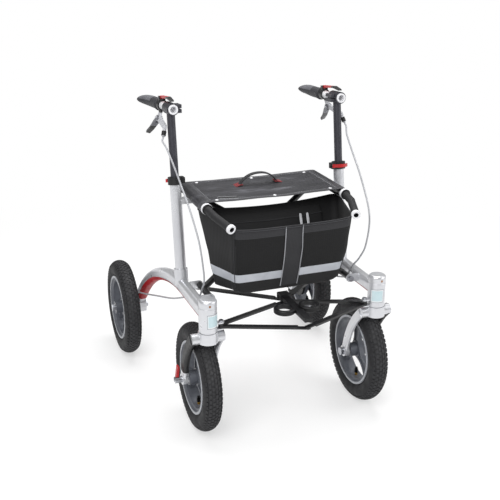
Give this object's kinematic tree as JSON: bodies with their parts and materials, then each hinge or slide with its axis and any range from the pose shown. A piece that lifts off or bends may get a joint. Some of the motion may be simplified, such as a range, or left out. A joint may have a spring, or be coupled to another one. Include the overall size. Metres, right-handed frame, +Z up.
{
  "type": "all terrain rollator",
  "caption": "Sideways folding outdoor walking frame with pneumatic wheels, swivelling front forks, seat, fabric basket, height adjustable handles and drum brakes",
  "frame": {"origin": "on the floor, under the middle of the whole walker", "axes": "+X to the walker's left as seen from the front, its right as seen by the one who walks behind it; -Y to the front; +Z up"},
  "size_m": [0.726, 0.864, 0.8768],
  "materials": {
    "white_paint": "gloss white paint",
    "black_paint": "satin black paint",
    "red_plastic": "glossy red plastic",
    "black_plastic": "matt black plastic",
    "grey_tube": "satin dark grey anodised tube",
    "rim_grey": "mid grey moulded rim",
    "tyre_rubber": "black treaded rubber",
    "steel": "bright zinc plated steel",
    "brass": "brass valve and bright bearings",
    "grip_rubber": "dark grey rubber",
    "silver_plastic": "pale silver plastic",
    "cable_sheath": "pale grey sheath",
    "fabric": "black woven fabric"
  },
  "bodies": {
    "left_side": {"left_side_frame": "white_paint", "left_frame_fittings": "steel", "left_rear_axle": "steel", "left_brake_plate": "black_plastic", "left_collar": "black_plastic", "left_cable": "cable_sheath"},
    "left_collar_lever": {"left_collar_lever": "red_plastic"},
    "left_fork": {"left_fork": "white_paint", "left_fork_guard": "black_plastic", "left_front_axle": "steel"},
    "left_axle_lever": {"left_axle_lever": "red_plastic"},
    "left_front_wheel": {"left_front_tyre": "tyre_rubber", "left_front_rim": "rim_grey", "left_front_wheel_fittings": "brass"},
    "left_rear_wheel": {"left_rear_tyre": "tyre_rubber", "left_rear_rim": "rim_grey", "left_rear_wheel_fittings": "brass"},
    "left_handle": {"left_height_tube": "grey_tube", "left_handle_tube": "steel", "left_grip": "grip_rubber", "left_brake_bracket": "silver_plastic"},
    "left_brake_lever": {"left_brake_lever": "grey_tube"},
    "left_parking_lever": {"left_parking_lever": "red_plastic"},
    "right_side": {"right_side_frame": "white_paint", "right_frame_fittings": "steel", "right_rear_axle": "steel", "right_brake_plate": "black_plastic", "right_collar": "black_plastic", "right_cable": "cable_sheath"},
    "right_collar_lever": {"right_collar_lever": "red_plastic"},
    "right_fork": {"right_fork": "white_paint", "right_fork_guard": "black_plastic", "right_front_axle": "steel"},
    "right_axle_lever": {"right_axle_lever": "red_plastic"},
    "right_front_wheel": {"right_front_tyre": "tyre_rubber", "right_front_rim": "rim_grey", "right_front_wheel_fittings": "brass"},
    "right_rear_wheel": {"right_rear_tyre": "tyre_rubber", "right_rear_rim": "rim_grey", "right_rear_wheel_fittings": "brass"},
    "right_handle": {"right_height_tube": "grey_tube", "right_handle_tube": "steel", "right_grip": "grip_rubber", "right_brake_bracket": "silver_plastic"},
    "right_brake_lever": {"right_brake_lever": "grey_tube"},
    "right_parking_lever": {"right_parking_lever": "red_plastic"},
    "left_cross": {"left_cross_tube": "black_paint", "right_basket_arm": "grip_rubber"},
    "right_cross": {"right_cross_tube": "black_paint", "left_basket_arm": "grip_rubber"},
    "seat": {"seat_sling": "fabric", "carry_strap": "fabric", "basket": "fabric"},
    "left_front_link": {"left_front_link": "black_paint"},
    "left_rear_link": {"left_rear_link": "black_paint"},
    "left_back_link": {"left_back_link": "black_paint"},
    "right_front_link": {"right_front_link": "black_paint"},
    "right_rear_link": {"right_rear_link": "black_paint"},
    "right_back_link": {"right_back_link": "black_paint"},
    "release": {"release_plate": "black_plastic"}
  },
  "joints": [
    {"name": "fold", "type": "hinge", "parent": "left_side", "child": "left_cross", "pos_m": [-0.205, -0.2025, 0.378], "axis": [0, -1, 0], "range_deg": [0, 38], "deforming": ["basket", "seat_sling", "carry_strap"]},
    {"name": "cross", "type": "hinge", "parent": "left_cross", "child": "right_cross", "pos_m": [0, -0.1175, 0.4965], "axis": [0, -1, 0], "range_deg": [-76, 0]},
    {"name": "right_side_hinge", "type": "hinge", "parent": "right_cross", "child": "right_side", "pos_m": [0.205, -0.2025, 0.378], "axis": [0, -1, 0], "range_deg": [0, 38]},
    {"name": "seat_hinge", "type": "hinge", "parent": "left_cross", "child": "seat", "pos_m": [0.2, -0.1, 0.61212], "axis": [0, -1, 0], "range_deg": [-38, 0]},
    {"name": "left_front_link_turn", "type": "hinge", "parent": "left_side", "child": "left_front_link", "pos_m": [-0.207, -0.34, 0.334], "axis": [0, 0, -1], "range_deg": [0, 44.1]},
    {"name": "right_front_link_turn", "type": "hinge", "parent": "right_side", "child": "right_front_link", "pos_m": [0.207, -0.34, 0.334], "axis": [0, 0, 1], "range_deg": [0, 44.1]},
    {"name": "left_rear_link_turn", "type": "hinge", "parent": "left_side", "child": "left_rear_link", "pos_m": [-0.207, -0.34, 0.341], "axis": [0, 0, 1], "range_deg": [0, 45.5]},
    {"name": "right_rear_link_turn", "type": "hinge", "parent": "right_side", "child": "right_rear_link", "pos_m": [0.207, -0.34, 0.341], "axis": [0, 0, -1], "range_deg": [0, 45.5]},
    {"name": "left_back_link_turn", "type": "hinge", "parent": "left_side", "child": "left_back_link", "pos_m": [-0.22, -0.084, 0.348], "axis": [0, 0, -1], "range_deg": [0, 29.6]},
    {"name": "right_back_link_turn", "type": "hinge", "parent": "right_side", "child": "right_back_link", "pos_m": [0.22, -0.084, 0.348], "axis": [0, 0, 1], "range_deg": [0, 29.6]},
    {"name": "release_turn", "type": "hinge", "parent": "left_back_link", "child": "release", "pos_m": [0, -0.263, 0.353], "axis": [0, 0, 1], "range_deg": [0, 29.6]},
    {"name": "left_swivel", "type": "hinge", "parent": "left_side", "child": "left_fork", "pos_m": [-0.243, -0.34, 0.37], "axis": [0, 0, -1], "continuous": true},
    {"name": "left_front_wheel_spin", "type": "hinge", "parent": "left_fork", "child": "left_front_wheel", "pos_m": [-0.243, -0.249, 0.15], "axis": [1, 0, 0], "continuous": true},
    {"name": "left_rear_wheel_spin", "type": "hinge", "parent": "left_side", "child": "left_rear_wheel", "pos_m": [-0.324, 0.282, 0.15], "axis": [1, 0, 0], "continuous": true},
    {"name": "left_axle_lever_turn", "type": "hinge", "parent": "left_fork", "child": "left_axle_lever", "pos_m": [-0.303, -0.249, 0.15], "axis": [0, -1, 0], "range_deg": [0, 120]},
    {"name": "left_collar_lever_turn", "type": "hinge", "parent": "left_side", "child": "left_collar_lever", "pos_m": [-0.22361, -0.06216, 0.65526], "axis": [0, -0.1392, -0.9903], "range_deg": [0, 100]},
    {"name": "left_height", "type": "slide", "parent": "left_side", "child": "left_handle", "axis": [0, 0.1392, 0.9903], "range_m": [-0.075, 0.1], "deforming": ["left_cable"]},
    {"name": "left_brake_lever_turn", "type": "hinge", "parent": "left_handle", "child": "left_brake_lever", "pos_m": [-0.25612, 0.02836, 0.80858], "axis": [0.9511, -0.0216, -0.3083], "range_deg": [0, 20], "stiffness_Nm_per_rad": 2, "springref_deg": -5.73},
    {"name": "left_parking_lever_turn", "type": "hinge", "parent": "left_handle", "child": "left_parking_lever", "pos_m": [-0.245, 0.03521, 0.86348], "axis": [-1, 0, 0], "range_deg": [0, 40]},
    {"name": "right_swivel", "type": "hinge", "parent": "right_side", "child": "right_fork", "pos_m": [0.243, -0.34, 0.37], "axis": [0, 0, 1], "continuous": true},
    {"name": "right_front_wheel_spin", "type": "hinge", "parent": "right_fork", "child": "right_front_wheel", "pos_m": [0.243, -0.249, 0.15], "axis": [1, 0, 0], "continuous": true},
    {"name": "right_rear_wheel_spin", "type": "hinge", "parent": "right_side", "child": "right_rear_wheel", "pos_m": [0.324, 0.282, 0.15], "axis": [1, 0, 0], "continuous": true},
    {"name": "right_axle_lever_turn", "type": "hinge", "parent": "right_fork", "child": "right_axle_lever", "pos_m": [0.303, -0.249, 0.15], "axis": [0, 1, 0], "range_deg": [0, 120]},
    {"name": "right_collar_lever_turn", "type": "hinge", "parent": "right_side", "child": "right_collar_lever", "pos_m": [0.22361, -0.08967, 0.65913], "axis": [0, -0.1392, -0.9903], "range_deg": [0, 100]},
    {"name": "right_height", "type": "slide", "parent": "right_side", "child": "right_handle", "axis": [0, 0.1392, 0.9903], "range_m": [-0.075, 0.1], "deforming": ["right_cable"]},
    {"name": "right_brake_lever_turn", "type": "hinge", "parent": "right_handle", "child": "right_brake_lever", "pos_m": [0.25612, 0.02836, 0.80858], "axis": [0.9511, 0.0216, 0.3083], "range_deg": [0, 20], "stiffness_Nm_per_rad": 2, "springref_deg": -5.73},
    {"name": "right_parking_lever_turn", "type": "hinge", "parent": "right_handle", "child": "right_parking_lever", "pos_m": [0.245, 0.03521, 0.86348], "axis": [-1, 0, 0], "range_deg": [0, 40]}
  ],
  "couplings": [
    {"joint": "cross", "follows": "fold", "ratio": -2},
    {"joint": "right_side_hinge", "follows": "fold", "ratio": 1},
    {"joint": "seat_hinge", "follows": "fold", "ratio": -1},
    {"joint": "left_front_link_turn", "follows": "fold", "ratio": 1.1577},
    {"joint": "right_front_link_turn", "follows": "fold", "ratio": 1.1577},
    {"joint": "left_rear_link_turn", "follows": "fold", "ratio": 1.1943},
    {"joint": "right_rear_link_turn", "follows": "fold", "ratio": 1.1943},
    {"joint": "left_back_link_turn", "follows": "fold", "ratio": 0.77489},
    {"joint": "right_back_link_turn", "follows": "fold", "ratio": 0.77489},
    {"joint": "release_turn", "follows": "fold", "ratio": 0.77489}
  ]
}
